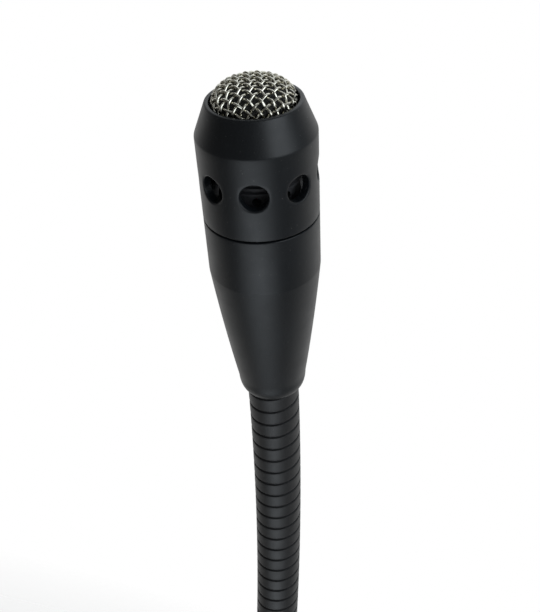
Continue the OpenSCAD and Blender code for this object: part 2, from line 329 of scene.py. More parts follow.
def ported_wall(bm, radius, port_r, turn, angles):
    """Quads from a port's circle out to its sector's border, on a cylinder. Returns the circle."""
    mouth = port_ring(bm, turn, radius, port_r, 0.0, angles)
    half = pi / PORT_COUNT
    previous = mouth
    for loop in range(1, WALL_LOOPS + 1):
        t = loop / WALL_LOOPS
        ring = []
        for angle, (share, height) in zip(angles, sector_border()):
            swing = (1 - t) * asin(port_r * cos(angle) / radius) + t * share * half
            level = (1 - t) * (PORT_Z_MM + port_r * sin(angle)) + t * height
            ring.append(bm.verts.new((radius * cos(turn + swing), radius * sin(turn + swing), level)))
        join_rings(bm, previous, ring)
        previous = ring
    return mouth


def make_head_cap():
    """Cap with eight ports round its side, a chamfer and the grille's mouth."""
    bm = bmesh.new()
    border = sector_border()
    angles = [atan2(z - PORT_Z_MM, share * HEAD_R_MM * pi / PORT_COUNT) for share, z in border]
    for k in range(PORT_COUNT):
        turn = -pi / 2 + (k + 0.5) * 2 * pi / PORT_COUNT
        mouth = ported_wall(bm, HEAD_R_MM, PORT_R_MM + PORT_LIP_MM, turn, angles)
        for width, depth in PORT_EDGE_MM:
            ring = port_ring(bm, turn, HEAD_R_MM, PORT_R_MM + width, depth, angles)
            join_rings(bm, mouth, ring)
            mouth = ring
        inside = ported_wall(bm, CAP_BORE_R_MM, PORT_R_MM, turn, angles)
        join_rings(bm, mouth, inside)
    ring_r = CAP_BORE_R_MM - 0.5
    ledge_z = CAP_SIDE_MM + 0.2
    above = [(HEAD_R_MM, PORT_HIGH_MM, 0), (HEAD_R_MM, CAP_SIDE_MM, 0.9), (RIM_R_MM, RIM_Z_MM, 0.3),
             (MOUTH_R_MM, RIM_Z_MM, 0.12), (MOUTH_R_MM, LIP_Z_MM, 0.06), (ring_r, LIP_Z_MM, 0),
             (ring_r, ledge_z, 0), (CAP_BORE_R_MM, ledge_z, 0), (CAP_BORE_R_MM, PORT_HIGH_MM, 0)]
    below = [(HEAD_R_MM, PORT_LOW_MM, 0), (HEAD_R_MM, SEAM_GAP_MM, 0.14),
             (CAP_BORE_R_MM, SEAM_GAP_MM, 0.05), (CAP_BORE_R_MM, PORT_LOW_MM, 0)]
    lathe_into(bm, rounded(above, False), False, SEGMENTS)
    lathe_into(bm, rounded(below, False), False, SEGMENTS)
    return finish_mesh(bm, "head_cap_shell", HEAD)


# The body's spigot in the cap, its slightly curved taper, its round lower end and the seat of its ferrule
BODY_SPIGOT_LEN_MM = 3.6
TAPER_SLOPE = 0.099
TAPER_CURVE = 0.0014
TAPER_STEPS = 14
BODY_END_R_MM = NECK_R_MM + 0.4
BODY_END_LEN_MM = 2.3
BODY_END_STEPS = 8
FERRULE_R_MM = 4.62
FERRULE_LOW_MM = -27.2
FERRULE_TOP_MM = -12.0


def taper_r(z):
    """Radius of the body's taper at height z."""
    drop = TAPER_Z_MM - z
    return HEAD_R_MM - TAPER_SLOPE * drop - TAPER_CURVE * drop ** 2


def make_head_body():
    """Body from its spigot in the cap down to its round lower end, open through."""
    spigot_r = CAP_BORE_R_MM - FIT_MM
    neck_bore_r = NECK_R_MM + FIT_MM
    taper_end = BODY_END_LEN_MM - BODY_LEN_MM
    corners = [(BODY_BORE_R_MM, BODY_SPIGOT_LEN_MM, 0.1), (spigot_r, BODY_SPIGOT_LEN_MM, 0.2),
               (spigot_r, 0, 0), (HEAD_R_MM, 0, 0.14), (HEAD_R_MM, TAPER_Z_MM, 0.5)]
    for k in range(1, TAPER_STEPS + 1):
        z = TAPER_Z_MM + (taper_end - TAPER_Z_MM) * k / TAPER_STEPS
        corners.append((taper_r(z), z, 0))
    for k in range(1, BODY_END_STEPS + 1):
        turn = radians(90 * k / BODY_END_STEPS)
        radius = BODY_END_R_MM + (taper_r(taper_end) - BODY_END_R_MM) * cos(turn)
        corners.append((radius, taper_end - (taper_end + BODY_LEN_MM) * sin(turn), 0))
    corners += [(neck_bore_r, -BODY_LEN_MM, 0.1), (neck_bore_r, FERRULE_LOW_MM, 0),
                (FERRULE_R_MM, FERRULE_LOW_MM, 0), (FERRULE_R_MM, FERRULE_TOP_MM, 0),
                (BODY_BORE_R_MM, FERRULE_TOP_MM, 0)]
    return lathe("head_body_shell", corners, HEAD, segments=SEGMENTS)


# Woven wire of the grille, drawn flat and laid over a dome
WEAVE_PITCH_MM = 1.04
WEAVE_SHIFT_MM = (0.347, 0.65)
WIRE_R_MM = 0.16
WEAVE_WAVE_MM = 0.165
WEAVE_TURN = radians(-15.5)
WEAVE_EDGE_R_MM = 5.0
WEAVE_EDGE_Z_MM = 15.9
WEAVE_MARGIN_MM = 0.4
WIRE_STEPS = 12
WIRE_SIDES = 10
DOME_POWER = 0.75
DOME_STEPS = 240
WEAVE_TOP_MM = MESH_TOP_MM - WEAVE_WAVE_MM - WIRE_R_MM
FLANGE_R_MM = 6.02
FLANGE_BORE_R_MM = 4.55


def dome_curve():
    """Meridian of the grille from its top to its foot, as (distance along it, radius, height)."""
    points = []
    for k in range(DOME_STEPS + 1):
        turn = radians(90 - 90 * k / DOME_STEPS)
        points.append((WEAVE_EDGE_R_MM * max(cos(turn), 0) ** DOME_POWER,
                       WEAVE_EDGE_Z_MM + (WEAVE_TOP_MM - WEAVE_EDGE_Z_MM) * sin(turn)))
    points.append((WEAVE_EDGE_R_MM, LIP_Z_MM - 0.3))
    curve, length = [(0.0, 0.0, WEAVE_TOP_MM)], 0.0
    for (r0, z0), (r1, z1) in zip(points, points[1:]):
        length += hypot(r1 - r0, z1 - z0)
        curve.append((length, r1, z1))
    return curve


DOME = dome_curve()


def on_dome(u, v, lift):
    """Point of the flat weave (u, v) laid over the dome and lifted along its normal."""
    distance = hypot(u, v)
    index = next((i for i, p in enumerate(DOME) if p[0] >= distance), len(DOME) - 1)
    index = max(index, 1)
    (s0, r0, z0), (s1, r1, z1) = DOME[index - 1], DOME[index]
    share = min((distance - s0) / (s1 - s0), 1.0)
    radius, height = r0 + (r1 - r0) * share, z0 + (z1 - z0) * share
    slope = Vector((r1 - r0, z1 - z0)).normalized()
    radius -= lift * slope.y
    height += lift * slope.x
    turn = atan2(v, u) + WEAVE_TURN
    return Vector((radius * cos(turn), radius * sin(turn), height))


def make_grille():
    """Grille of separate wires, each bent over and under the crossing ones, on a flat ring."""
    bm = bmesh.new()
    reach = DOME[-1][0]
    lines = int(reach / WEAVE_PITCH_MM) + 1
    for family in (0, 1):
        for line in range(-lines, lines + 1):
            offset = line * WEAVE_PITCH_MM + WEAVE_SHIFT_MM[family]
            if abs(offset) > reach - WEAVE_MARGIN_MM:
                continue
            half = sqrt(reach ** 2 - offset ** 2)
            count = max(4, round(2 * half / WEAVE_PITCH_MM * WIRE_STEPS))
            sign = 1 if (line + family) % 2 else -1
            points = []
            for k in range(count + 1):
                along = -half + 2 * half * k / count
                crossing = (along - WEAVE_SHIFT_MM[1 - family]) / WEAVE_PITCH_MM
                lift = sign * WEAVE_WAVE_MM * cos(pi * crossing)
                points.append(on_dome(along, offset, lift) if family else on_dome(offset, along, lift))
            tube_into(bm, points, WIRE_R_MM, WIRE_SIDES)
    flange_low, flange_top = LIP_Z_MM - 0.5, LIP_Z_MM - 0.02
    flange = [(FLANGE_BORE_R_MM, flange_low, 0.1), (FLANGE_R_MM, flange_low, 0.1),
              (FLANGE_R_MM, flange_top, 0.1), (FLANGE_BORE_R_MM, flange_top, 0.1)]
    lathe_into(bm, rounded(flange), segments=96)
    return finish_mesh(bm, "grille_weave", HEAD)


# Foam disc, whose edges are divided where they are longer than FOAM_EDGE_MM
FOAM_R_MM = 4.6
FOAM_LOW_MM = 11.25
FOAM_EDGE_Z_MM = 15.6
FOAM_TOP_MM = MESH_TOP_MM - 0.85
FOAM_STEPS = 20
FOAM_EDGE_MM = 0.5
PORE_DEPTH_MM = 0.12


def make_foam():
    """Foam disc under the grille, with open pores on its face."""
    corners = [(0, FOAM_LOW_MM, 0), (FOAM_R_MM, FOAM_LOW_MM, 0.3)]
    for k in range(FOAM_STEPS + 1):
        turn = radians(90 * k / FOAM_STEPS)
        corners.append((FOAM_R_MM * max(cos(turn), 0) ** DOME_POWER,
                        FOAM_EDGE_Z_MM + (FOAM_TOP_MM - FOAM_EDGE_Z_MM) * sin(turn), 0))
    bm = bmesh.new()
    lathe_into(bm, rounded(corners, False), False, 120)
    long_edges = [edge for edge in bm.edges if edge.calc_length() > FOAM_EDGE_MM]
    bmesh.ops.subdivide_edges(bm, edges=long_edges, cuts=2, use_grid_fill=True)
    for vert in bm.verts:
        pore = noise.noise(vert.co * 3.1) + 0.6 * noise.noise(vert.co * 6.7)
        depth = PORE_DEPTH_MM * max(pore, -0.2) if vert.co.z > FOAM_LOW_MM + 0.2 else 0.0
        vert.co -= vert.co.normalized() * depth
    return finish_mesh(bm, "foam_screen_disc", HEAD)


# ---------- Gooseneck ----------

TURN_STEPS = 48
WINDING_BORE_MM = 3.02
# Turns that are made past both ends of a stretch and trimmed off
SPARE_TURNS = 2
# Where along the neck the groove starts, as a share of the pitch
GROOVE_START = 0.16
# Half the groove and the rolled edge beside it, as (share of the pitch, depth in mm under the flat band)
GROOVE_SIDE = [(0.055, 0.24), (0.07, 0.18), (0.082, 0.09), (0.095, 0.03), (0.112, 0.008), (0.15, 0.002)]
FLAT_SHARES = (0.22, 0.31, 0.4, 0.5, 0.6, 0.69, 0.78)
# One turn of the winding: the groove's floor, wall and edge, the flat band, the next groove's edge and wall
BAND = [(-GROOVE_SIDE[0][0], GROOVE_SIDE[0][1])] + GROOVE_SIDE + [(share, 0.0) for share in FLAT_SHARES]
BAND += [(1 - share, depth) for share, depth in reversed(GROOVE_SIDE[1:])]


def winding_into(bm, low, high):
    """Ribbon of turns that covers the stretch from low to high along the neck, with room at both ends."""
    pitch = TURN_PITCH_MM
    first = int((low / pitch - SPARE_TURNS) * TURN_STEPS)
    last = int((high / pitch + SPARE_TURNS) * TURN_STEPS)
    rows = []
    for step in range(first, last + 1):
        turn = 2 * pi * step / TURN_STEPS
        row = []
        for share, depth in BAND:
            radius = NECK_R_MM - depth
            place = neck_frame((step / TURN_STEPS + share + GROOVE_START) * pitch * MM)
            point = place @ Vector((radius * cos(turn) * MM, radius * sin(turn) * MM, 0)) / MM
            row.append(bm.verts.new(point))
        rows.append(row)
    width = len(BAND)
    for i in range(len(rows) - 1):
        for j in range(width - 1):
            bm.faces.new((rows[i][j], rows[i + 1][j], rows[i + 1][j + 1], rows[i][j + 1]))
        ahead = i + TURN_STEPS
        if ahead + 1 < len(rows):
            bm.faces.new((rows[i][-1], rows[i + 1][-1], rows[ahead + 1][0], rows[ahead][0]))


# Rings of a bore are this far apart, and the bore reaches this far past both ends before it is trimmed
BORE_STEP_MM = 1.5
BORE_SPARE_MM = 1.0


def bore_into(bm, low, high, radius, sides):
    """Smooth tube wall along the neck, a little longer than the stretch."""
    length = high - low + 2 * BORE_SPARE_MM
    count = max(2, round(length / BORE_STEP_MM))
    rings = []
    for k in range(count + 1):
        place = neck_frame((low - BORE_SPARE_MM + length * k / count) * MM)
        rings.append([bm.verts.new(place @ point / MM) for point in circle(radius * MM, 0, sides)])
    for first, second in zip(rings, rings[1:]):
        join_rings(bm, first, second)


def trim(bm, low, high):
    """Cuts everything square at both ends of the stretch and closes the ends."""
    for distance, sign in ((low, -1), (high, 1)):
        place = neck_frame(distance * MM)
        normal = (place.to_3x3() @ Vector((0, 0, 1))).normalized() * sign
        result = bmesh.ops.bisect_plane(bm, geom=bm.verts[:] + bm.edges[:] + bm.faces[:], dist=WELD_MM,
                                        plane_co=place.translation / MM, plane_no=normal, clear_outer=True)
        rim = [g for g in result["geom_cut"] if isinstance(g, bmesh.types.BMEdge) and g.is_valid]
        bmesh.ops.triangle_fill(bm, edges=rim, use_beauty=True)


def stretches():
    """Each joint's stretch of the neck: index, low and high distance, with the gripped ends added."""
    arc = NECK_ARC / MM
    for k in range(LINKS):
        low = -COLLAR_GRIP_MM if k == 0 else arc * k / LINKS
        high = arc + HEAD_GRIP_MM if k == LINKS - 1 else arc * (k + 1) / LINKS
        yield k, low, high


def bend(piece, k):
    """Bakes the piece's place into its vertices. The places of joint k's two ends are worked out and not used."""
    neck_frame(NECK_ARC * k / LINKS).translation
    neck_frame(NECK_ARC * (k + 1) / LINKS).translation
    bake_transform(piece)


def make_winding(k, low, high):
    """Outer winding of one stretch, with its smooth bore."""
    bm = bmesh.new()
    winding_into(bm, low, high)
    bore_into(bm, low, high, WINDING_BORE_MM, TURN_STEPS)
    trim(bm, low, high)
    return finish_mesh(bm, f"gooseneck_winding_{k + 1}")


# Inner spring, with so many steps for each turn and sides for its wire
SPRING_WIRE_R_MM = 0.42
SPRING_R_MM = 2.5
SPRING_PITCH_MM = 1.25
SPRING_STEPS = 18
SPRING_SIDES = 8


def make_spring(k, low, high):
    """Inner spring of one stretch, coiled against the winding."""
    bm = bmesh.new()
    first = round(low / SPRING_PITCH_MM * SPRING_STEPS)
    last = round(high / SPRING_PITCH_MM * SPRING_STEPS)
    points = []
    for step in range(first, last + 1):
        turn = -2 * pi * step / SPRING_STEPS
        spot = Vector((SPRING_R_MM * cos(turn) * MM, SPRING_R_MM * sin(turn) * MM, 0))
        points.append(neck_frame(step / SPRING_STEPS * SPRING_PITCH_MM * MM) @ spot / MM)
    tube_into(bm, points, SPRING_WIRE_R_MM, SPRING_SIDES)
    return finish_mesh(bm, f"gooseneck_spring_{k + 1}")


# Cable, with its tails past the ends of the neck's free stretch
CABLE_R_MM = 1.5
CABLE_SIDES = 24
CABLE_LOW_TAIL_MM = 28.0
CABLE_HIGH_TAIL_MM = 20.0


def make_cable(k, low, high):
    """Cable of one stretch, with a tail past each end of the neck."""
    bm = bmesh.new()
    if k == 0:
        low = -CABLE_LOW_TAIL_MM
    if k == LINKS - 1:
        high += CABLE_HIGH_TAIL_MM - HEAD_GRIP_MM
    bore_into(bm, low, high, CABLE_R_MM, CABLE_SIDES)
    trim(bm, low, high)
    return finish_mesh(bm, f"gooseneck_cable_{k + 1}")


# ---------- Base pieces, in the frame itself: Z up from the plug's open end ----------

BASE_R_MM = 9.8
PLUG_R_MM = 9.4
CAVITY_R_MM = 8.0
CAVITY_Z_MM = 15.0
INSERT_R_MM = 7.2
SPIGOT_R_MM = 8.7
SPIGOT_LEN_MM = 8.0
TUBE_TOP_MM = 78.0
COLLAR_BORE_R_MM = 5.2
COLLAR_SEAT_MM = 8.0
COLLAR_STEPS = 16
CHAMFER_MM = 0.3
SCREW_Z_MM = PLUG_LEN_MM + 4
SCREW_HOLE_R_MM = 1.02
INSERT_SCREW_Z_MM = CAVITY_Z_MM + 2.5
INSERT_FACE_Z_MM = CAVITY_Z_MM - 2
INSERT_TOP_MM = 25.0
PIN_R_MM = 1.2
PIN_CIRCLE_MM = 4.05
PIN_ANGLES = {1: pi, 2: 0.0, 3: -pi / 2}
# The earth contact is the longest, so its tip stands lowest
PIN_TIPS_MM = {1: 2.0, 2: 3.0, 3: 3.0}
PIN_SHOULDER_MM = 25.5
PIN_TOP_MM = 28.5
CUP_FLOOR_MM = 26.3
# Slots in the plug's shell, each as two opposite corners
KEYWAY_MM = ((-1.6, 7.0, -1.0), (1.6, 8.65, 12.0))
WINDOW_MM = ((-2.3, 7.0, 4.5), (2.3, 11.0, 7.5))


def make_collar():
    """Collar with a spigot in the tube and a hollow-curved nose up to the neck."""
    neck_z = NECK_START.z / MM
    neck_bore_r = NECK_R_MM + FIT_MM
    nose_r = NECK_R_MM + 1.5
    shoulder_r = BASE_R_MM - CHAMFER_MM
    curve_z = TUBE_TOP_MM + 1.6
    spigot_z = TUBE_TOP_MM - SPIGOT_LEN_MM
    corners = [(COLLAR_BORE_R_MM, spigot_z, 0), (SPIGOT_R_MM, spigot_z, 0.2), (SPIGOT_R_MM, TUBE_TOP_MM, 0),
               (shoulder_r, TUBE_TOP_MM, 0), (BASE_R_MM, TUBE_TOP_MM + CHAMFER_MM, 0.2),
               (BASE_R_MM, curve_z - CHAMFER_MM, 0.3)]
    for k in range(COLLAR_STEPS + 1):
        turn = radians(90 * k / COLLAR_STEPS)
        corners.append((nose_r + (shoulder_r - nose_r) * (1 - sin(turn)),
                        curve_z + (neck_z - 1.5 - curve_z) * (1 - cos(turn)), 0))
    corners += [(nose_r, neck_z - 0.4, 0.2), (nose_r - 0.4, neck_z, 0.2), (neck_bore_r, neck_z, 0.1),
                (neck_bore_r, neck_z - COLLAR_SEAT_MM, 0), (COLLAR_BORE_R_MM, neck_z - COLLAR_SEAT_MM, 0)]
    return lathe("base_collar_shell", corners)


def across_axis(height, turn):
    """Matrix that turns Z away from the axis, along turn, at a height."""
    raised = Matrix.Translation((0, 0, height))
    return raised @ Matrix.Rotation(turn, 4, "Z") @ Matrix.Rotation(pi / 2, 4, "Y")


def screw_hole(low, high, height, turn):
    """Cutter for a grub screw's hole across the axis, from low to high off it, pointing along turn."""
    corners = drum(SCREW_HOLE_R_MM, low, high)
    return lathe("cutter", corners, across_axis(height * MM, turn), closed=False, segments=48)


def make_tube():
    """Tube from the plug to the collar, with a hole on each side for its screws."""
    bore_r = SPIGOT_R_MM + FIT_MM
    corners = [(bore_r, PLUG_LEN_MM, 0), (BASE_R_MM, PLUG_LEN_MM, 0.4), (BASE_R_MM, TUBE_TOP_MM, 0.3),
               (bore_r, TUBE_TOP_MM, 0)]
    tube = lathe("base_tube_shell", corners)
    return cut(tube, [screw_hole(7.0, 12.0, SCREW_Z_MM, turn) for turn in (0.0, pi)])


def make_plug_shell():
    """Plug's shell with its spigot, keyway, window and screw holes."""
    spigot_top = PLUG_LEN_MM + SPIGOT_LEN_MM
    corners = [(CAVITY_R_MM, 0, 0.35), (PLUG_R_MM, 0, 0.3), (PLUG_R_MM, PLUG_LEN_MM, 0),
               (SPIGOT_R_MM, PLUG_LEN_MM, 0), (SPIGOT_R_MM, spigot_top, 0.2), (INSERT_R_MM, spigot_top, 0),
               (INSERT_R_MM, CAVITY_Z_MM, 0), (CAVITY_R_MM, CAVITY_Z_MM, 0)]
    shell = lathe("plug_shell_turned", corners)
    keyway = block("cutter", *KEYWAY_MM, bevel=0.25)
    window = block("cutter", *WINDOW_MM, bevel=0.35)
    holes = [screw_hole(6.5, 12.0, SCREW_Z_MM, turn) for turn in (0.0, pi)]
    holes.append(screw_hole(6.5, 12.0, INSERT_SCREW_Z_MM, -pi / 2))
    return cut(shell, [keyway, window] + holes)


def pin_place(number):
    """Matrix that moves Z onto a contact's axis."""
    angle = PIN_ANGLES[number]
    return Matrix.Translation((PIN_CIRCLE_MM * cos(angle) * MM, PIN_CIRCLE_MM * sin(angle) * MM, 0))


def make_insert():
    """Moulded insert with a bore and a shallow dish for each contact."""
    rim_r = CAVITY_R_MM - FIT_MM
    stem_r = INSERT_R_MM - FIT_MM
    corners = [(0, INSERT_FACE_Z_MM, 0), (rim_r, INSERT_FACE_Z_MM, 0.25), (rim_r, CAVITY_Z_MM, 0.05),
               (stem_r, CAVITY_Z_MM, 0), (stem_r, INSERT_TOP_MM, 0.2), (0, INSERT_TOP_MM, 0)]
    insert = lathe("plug_insert_moulded", corners, closed=False)
    below, wall, floor = INSERT_FACE_Z_MM - 1, INSERT_FACE_Z_MM + 0.25, INSERT_FACE_Z_MM + 0.45
    dish = [(0, below, 0), (2.0, below, 0), (2.0, wall, 0.1), (PIN_R_MM, floor, 0), (0, floor, 0)]
    bore = drum(PIN_R_MM + 0.02, 5, 30)
    cutters = []
    for number in PIN_ANGLES:
        for outline in (bore, dish):
            cutters.append(lathe("cutter", outline, pin_place(number), closed=False, segments=48))
    return cut(insert, cutters)


def make_pin(number):
    """Contact with a round tip, a shoulder ring and a solder cup."""
    tip = PIN_TIPS_MM[number]
    collar_r = PIN_R_MM + 0.25
    cup_r = PIN_R_MM - 0.35
    corners = [(0, tip, 0)]
    for degrees in range(12, 85, 12):
        turn = radians(degrees)
        corners.append((PIN_R_MM * sin(turn), tip + PIN_R_MM * (1 - cos(turn)), 0))
    corners += [(PIN_R_MM, tip + PIN_R_MM, 0), (PIN_R_MM, PIN_SHOULDER_MM, 0),
                (collar_r, PIN_SHOULDER_MM, 0.08), (collar_r, PIN_TOP_MM, 0.1), (cup_r, PIN_TOP_MM, 0.1),
                (cup_r, CUP_FLOOR_MM, 0.1), (0, CUP_FLOOR_MM, 0)]
    return lathe(f"plug_contact_{number}", corners, pin_place(number), closed=False, segments=48)


# Grub screws: the thread's root, crest and pitch, and the socket's half width and depth
ROOT_R_MM = 0.82
CREST_R_MM = 0.99
THREAD_PITCH_MM = 0.4
SOCKET_R_MM = 0.45
SOCKET_DEPTH_MM = 0.8
SCREW_SIDES = 24


def hexagon(radius, height, sides):
    """Points of a hexagon round Z, radius to its flats, as many points as a circle of so many sides."""
    points = []
    for k in range(sides):
        angle = 2 * pi * k / sides
        reach = radius / cos((angle + pi / 6) % (pi / 3) - pi / 6)
        points.append(Vector((reach * cos(angle), reach * sin(angle), height)))
    return points


def grub_screw_into(bm, inner, outer, height, turn):
    """Grub screw along turn with a thread and a hexagon socket, its chamfered end towards the axis."""
    length = outer - inner
    place = across_axis(height, turn) @ Matrix.Translation((0, 0, inner))
    outline = [(0.6, 0), (ROOT_R_MM, 0.22)]
    for k in range(int((length - 0.5) / THREAD_PITCH_MM)):
        z = 0.25 + k * THREAD_PITCH_MM
        crest_low, crest_high = z + THREAD_PITCH_MM * 0.42, z + THREAD_PITCH_MM * 0.58
        outline += [(ROOT_R_MM, z), (CREST_R_MM, crest_low), (CREST_R_MM, crest_high)]
    outline += [(ROOT_R_MM, length - 0.12), (0.72, length)]
    levels = [circle(radius, z, SCREW_SIDES) for radius, z in outline]
    levels += [hexagon(SOCKET_R_MM, z, SCREW_SIDES) for z in (length, length - SOCKET_DEPTH_MM)]
    tip = bm.verts.new(place @ Vector((0, 0, 0)))
    rings = [[bm.verts.new(place @ point) for point in level] for level in levels]
    for k in range(SCREW_SIDES):
        bm.faces.new((tip, rings[0][(k + 1) % SCREW_SIDES], rings[0][k]))
    for first, second in zip(rings, rings[1:]):
        join_rings(bm, first, second)
    bm.faces.new(rings[-1])


def make_screws(name, places):
    """Grub screws at places given as (inner end, outer end, height, turn)."""
    bm = bmesh.new()
    for inner, outer, height, turn in places:
        grub_screw_into(bm, inner, outer, height, turn)
    return finish_mesh(bm, name)


# ---------- Materials ----------

def node(tree, kind, **inputs):
    """Adds a shader node and sets its inputs, whose names have _ for a space."""
    made = tree.nodes.new(kind)
    for name, value in inputs.items():
        made.inputs[name.replace("_", " ")].default_value = value
    return made


def ramp(tree, source, low, high, to_low=0.0, to_high=1.0, smooth=False):
    """Change of a value's range, clamped: straight, or eased at both ends."""
    made = node(tree, "ShaderNodeMapRange", From_Min=low, From_Max=high, To_Min=to_low, To_Max=to_high)
    if smooth:
        made.interpolation_type = "SMOOTHSTEP"
    tree.links.new(source, made.inputs["Value"])
    return made.outputs["Result"]


def grain(tree, place, size_mm, stretch=(1, 1, 1), detail=3.0):
    """Noise with features of about size_mm."""
    scaled = node(tree, "ShaderNodeMapping", Scale=[k / (size_mm * MM) for k in stretch])
    tree.links.new(place, scaled.inputs["Vector"])
    made = node(tree, "ShaderNodeTexNoise", Scale=1.0, Detail=detail, Roughness=0.55)
    tree.links.new(scaled.outputs["Vector"], made.inputs["Vector"])
    return made.outputs["Fac"]


def mix_colour(tree, factor, first, second):
    """Mix of two colours, or of a socket and a colour, by a factor."""
    made = tree.nodes.new("ShaderNodeMix")
    made.data_type = "RGBA"
    tree.links.new(factor, made.inputs[0])
    for socket, value in ((made.inputs[6], first), (made.inputs[7], second)):
        if isinstance(value, bpy.types.NodeSocket):
            tree.links.new(value, socket)
        else:
            socket.default_value = (*value, 1.0)
    return made.outputs[2]


def total(tree, first, second):
    """Sum of two values."""
    made = tree.nodes.new("ShaderNodeMath")
    made.operation = "ADD"
    tree.links.new(first, made.inputs[0])
    tree.links.new(second, made.inputs[1])
    return made.outputs[0]


def bump(tree, height, depth_mm, normal=None):
    """Relief of a depth from a height between 0 and 1, on top of another normal."""
    made = node(tree, "ShaderNodeBump", Strength=1.0, Distance=depth_mm * MM)
    tree.links.new(height, made.inputs["Height"])
    if normal is not None:
        tree.links.new(normal, made.inputs["Normal"])
    return made.outputs["Normal"]


# Sizes of the noise that makes the slow change of tone and of gloss, the specks of dust and the lathe lines
TONE_MM = 6.0
GLOSS_MM = 2.5
SPECK_MM = 0.22
SPECK_EDGE = 0.03
LATHE_LINE_MM = 0.11
LATHE_STRETCH = (0.02, 0.02, 1.0)


def finish_of(name, dark, light, rough, metal=0.0, grain_mm=0.09, depth_mm=0.004, turned=0.0, specks=None,
              lean=0.0, **shader):
    """Material with fine grain, tone and gloss that wander, optional lathe lines and specks.

    dark and light are the ends of its tone, and rough is the (low, high) of its roughness. turned is the
    depth in mm of the lathe lines round an axis that leans by lean. specks is dust's (colour, threshold).
    """
    made = bpy.data.materials.new(name)
    made.use_nodes = True
    tree = made.node_tree
    skin = tree.nodes["Principled BSDF"]
    skin.inputs["Metallic"].default_value = metal
    for socket, value in shader.items():
        skin.inputs[socket.replace("_", " ")].default_value = value
    upright = node(tree, "ShaderNodeMapping", Rotation=(-lean, 0.0, 0.0))
    tree.links.new(tree.nodes.new("ShaderNodeTexCoord").outputs["Object"], upright.inputs["Vector"])
    place = upright.outputs["Vector"]
    fine = grain(tree, place, grain_mm)
    broad = grain(tree, place, TONE_MM, detail=4.0)
    tone = mix_colour(tree, ramp(tree, total(tree, fine, broad), 0.75, 1.25), dark, light)
    if specks:
        dust, threshold = specks
        dots = grain(tree, place, SPECK_MM, detail=1.0)
        tone = mix_colour(tree, ramp(tree, dots, threshold, threshold + SPECK_EDGE), tone, dust)
    tree.links.new(tone, skin.inputs["Base Color"])
    gloss = ramp(tree, total(tree, fine, grain(tree, place, GLOSS_MM)), 0.7, 1.3, *rough)
    tree.links.new(gloss, skin.inputs["Roughness"])
    normal = bump(tree, fine, depth_mm)
    if turned:
        lines = grain(tree, place, LATHE_LINE_MM, stretch=LATHE_STRETCH, detail=2.0)
        normal = bump(tree, lines, turned, normal=normal)
    tree.links.new(normal, skin.inputs["Normal"])
    return made


